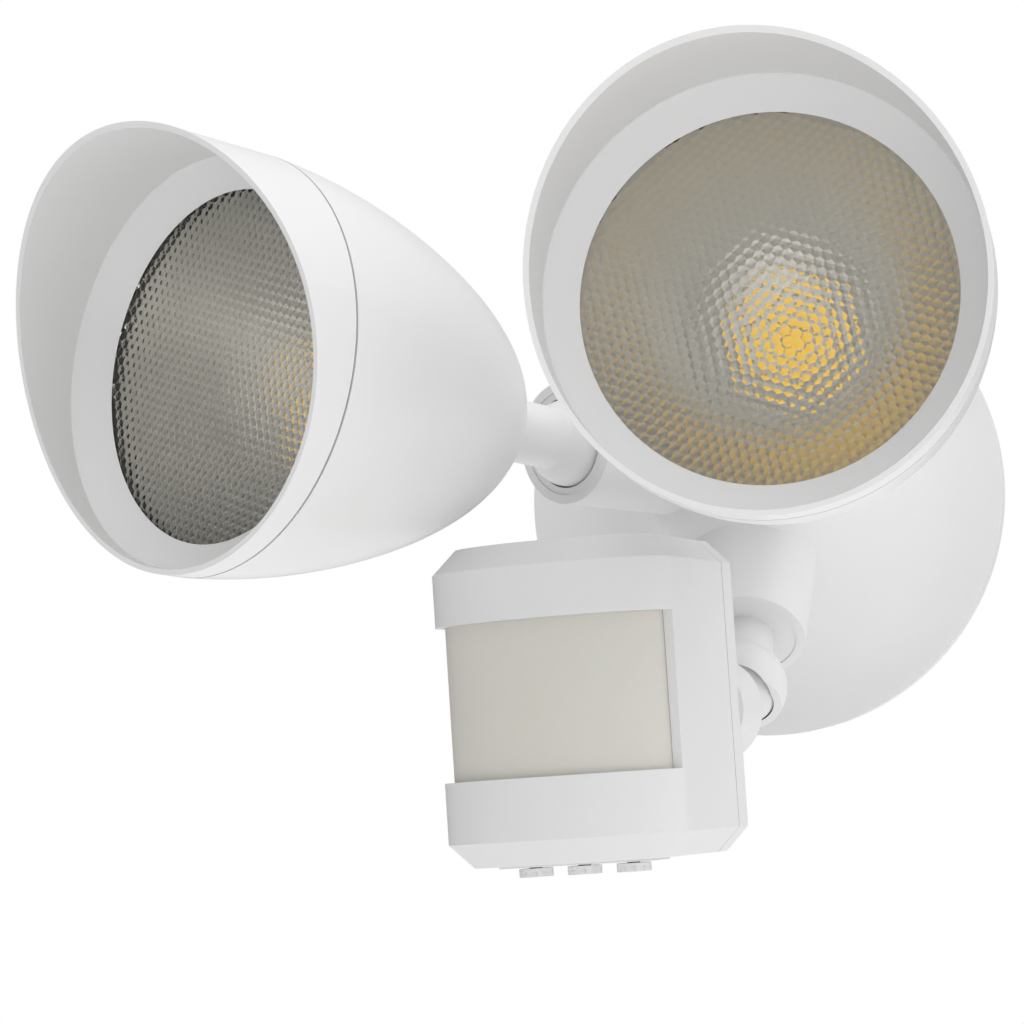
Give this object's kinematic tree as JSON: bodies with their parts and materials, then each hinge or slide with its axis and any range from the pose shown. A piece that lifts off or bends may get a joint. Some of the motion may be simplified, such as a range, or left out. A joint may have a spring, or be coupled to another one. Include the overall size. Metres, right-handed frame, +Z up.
{
  "type": "motion sensor security light",
  "caption": "Wall security light: two bullet lamp heads on ball swivels and a motion sensor on a jointed arm, all carried by a round trumpet shaped canopy.",
  "frame": {"origin": "centre of the canopy's back, on the wall plane", "axes": "+Z up, +Y into the wall, -Y out of the wall towards the viewer, +X to the viewer's right"},
  "size_m": [0.2322, 0.2171, 0.1779],
  "materials": {
    "white_cast": "satin",
    "white_steel": "satin",
    "gasket_foam": "matt foam",
    "zinc_steel": "zinc plated",
    "green_screw": "plated green",
    "white_arm": "satin",
    "white_shell": "satin",
    "clear_lens": "moulded with fine lens cells",
    "black_rubber": "matt",
    "mirror_cup": "bright metallised",
    "aluminium_sink": "as cast",
    "board_white": "solder mask",
    "phosphor": "yellow phosphor",
    "driver_case": "moulded",
    "white_cover": "satin moulded",
    "sensor_lens": "milky",
    "board_green": "solder mask",
    "detector_metal": "drawn can",
    "dial_grey": "moulded"
  },
  "bodies": {
    "canopy": {"canopy": "white_cast", "canopy_gasket": "gasket_foam", "crossbar": "zinc_steel", "box_screws": "zinc_steel", "ground_screw": "green_screw", "centre_bolt": "zinc_steel", "centre_nut": "zinc_steel", "bolt_plug": "white_steel"},
    "left_cup": {"left_swivel_cup": "white_arm", "left_swivel_nut": "zinc_steel"},
    "left_stem": {"left_ball_stem": "white_arm", "left_tilt_pins": "zinc_steel", "left_stem_nut": "zinc_steel"},
    "left_head": {"left_rear_shell": "white_shell", "left_hood": "white_shell", "left_lens": "clear_lens", "left_lens_seal": "black_rubber", "left_reflector": "mirror_cup", "left_heat_sink": "aluminium_sink", "left_led_board": "board_white", "left_led_chip": "phosphor", "left_led_driver": "driver_case"},
    "right_cup": {"right_swivel_cup": "white_arm", "right_swivel_nut": "zinc_steel"},
    "right_stem": {"right_ball_stem": "white_arm", "right_tilt_pins": "zinc_steel", "right_stem_nut": "zinc_steel"},
    "right_head": {"right_rear_shell": "white_shell", "right_hood": "white_shell", "right_lens": "clear_lens", "right_lens_seal": "black_rubber", "right_reflector": "mirror_cup", "right_heat_sink": "aluminium_sink", "right_led_board": "board_white", "right_led_chip": "phosphor", "right_led_driver": "driver_case"},
    "sensor_arm": {"sensor_arm_knuckle": "white_arm", "sensor_arm_nut": "zinc_steel"},
    "sensor_link": {"sensor_link": "white_arm", "sensor_tilt_pins": "zinc_steel", "sensor_link_nut": "zinc_steel"},
    "sensor": {"sensor_front_cover": "white_cover", "sensor_back_cover": "white_cover", "sensor_window": "sensor_lens", "sensor_seal": "black_rubber", "sensor_board": "board_green", "infrared_detector": "detector_metal", "control_plate": "white_cover", "dial_pots": "driver_case", "sensor_screws": "zinc_steel"},
    "range_dial": {"range_dial": "dial_grey"},
    "time_dial": {"time_dial": "dial_grey"},
    "dusk_dial": {"dusk_dial": "dial_grey"}
  },
  "joints": [
    {"name": "left_swivel", "type": "hinge", "parent": "canopy", "child": "left_cup", "pos_m": [-0.0333, -0.0757, 0.0126], "axis": [-0.5, -0.866, 0], "range_deg": [-20, 60]},
    {"name": "left_tilt", "type": "hinge", "parent": "left_cup", "child": "left_stem", "pos_m": [-0.0333, -0.0757, 0.0126], "axis": [-0.8658, 0.4999, 0.0234], "range_deg": [-2, 20]},
    {"name": "left_head_turn", "type": "hinge", "parent": "left_stem", "child": "left_head", "pos_m": [-0.0333, -0.0757, 0.0126], "axis": [-0.4915, -0.8582, 0.1478], "range_deg": [-90, 90]},
    {"name": "right_swivel", "type": "hinge", "parent": "canopy", "child": "right_cup", "pos_m": [0.0333, -0.0757, 0.0126], "axis": [0.5, -0.866, 0], "range_deg": [-60, 60]},
    {"name": "right_tilt", "type": "hinge", "parent": "right_cup", "child": "right_stem", "pos_m": [0.0333, -0.0757, 0.0126], "axis": [-0.1994, -0.1151, -0.9731], "range_deg": [-25, 3]},
    {"name": "right_head_turn", "type": "hinge", "parent": "right_stem", "child": "right_head", "pos_m": [0.0333, -0.0757, 0.0126], "axis": [0.0711, -0.9922, 0.1028], "range_deg": [-90, 90]},
    {"name": "sensor_swivel", "type": "hinge", "parent": "canopy", "child": "sensor_arm", "pos_m": [0, -0.05, -0.038], "axis": [0, -0.6428, -0.766], "range_deg": [-15, 45]},
    {"name": "sensor_tilt", "type": "hinge", "parent": "sensor_arm", "child": "sensor_link", "pos_m": [0, -0.06196, -0.05225], "axis": [1, 0, 0], "range_deg": [-2, 20]},
    {"name": "sensor_turn", "type": "hinge", "parent": "sensor_link", "child": "sensor", "pos_m": [-0.00352, -0.08212, -0.05799], "axis": [-0.1219, -0.9925, 0], "range_deg": [-5, 45]},
    {"name": "range_dial_turn", "type": "hinge", "parent": "sensor", "child": "range_dial", "pos_m": [-0.04022, -0.12497, -0.09051], "axis": [0.045, -0.0055, 0.999], "range_deg": [-135, 135]},
    {"name": "time_dial_turn", "type": "hinge", "parent": "sensor", "child": "time_dial", "pos_m": [-0.02813, -0.12645, -0.09106], "axis": [0.045, -0.0055, 0.999], "range_deg": [-135, 135]},
    {"name": "dusk_dial_turn", "type": "hinge", "parent": "sensor", "child": "dusk_dial", "pos_m": [-0.01603, -0.12794, -0.09162], "axis": [0.045, -0.0055, 0.999], "range_deg": [-135, 135]}
  ]
}
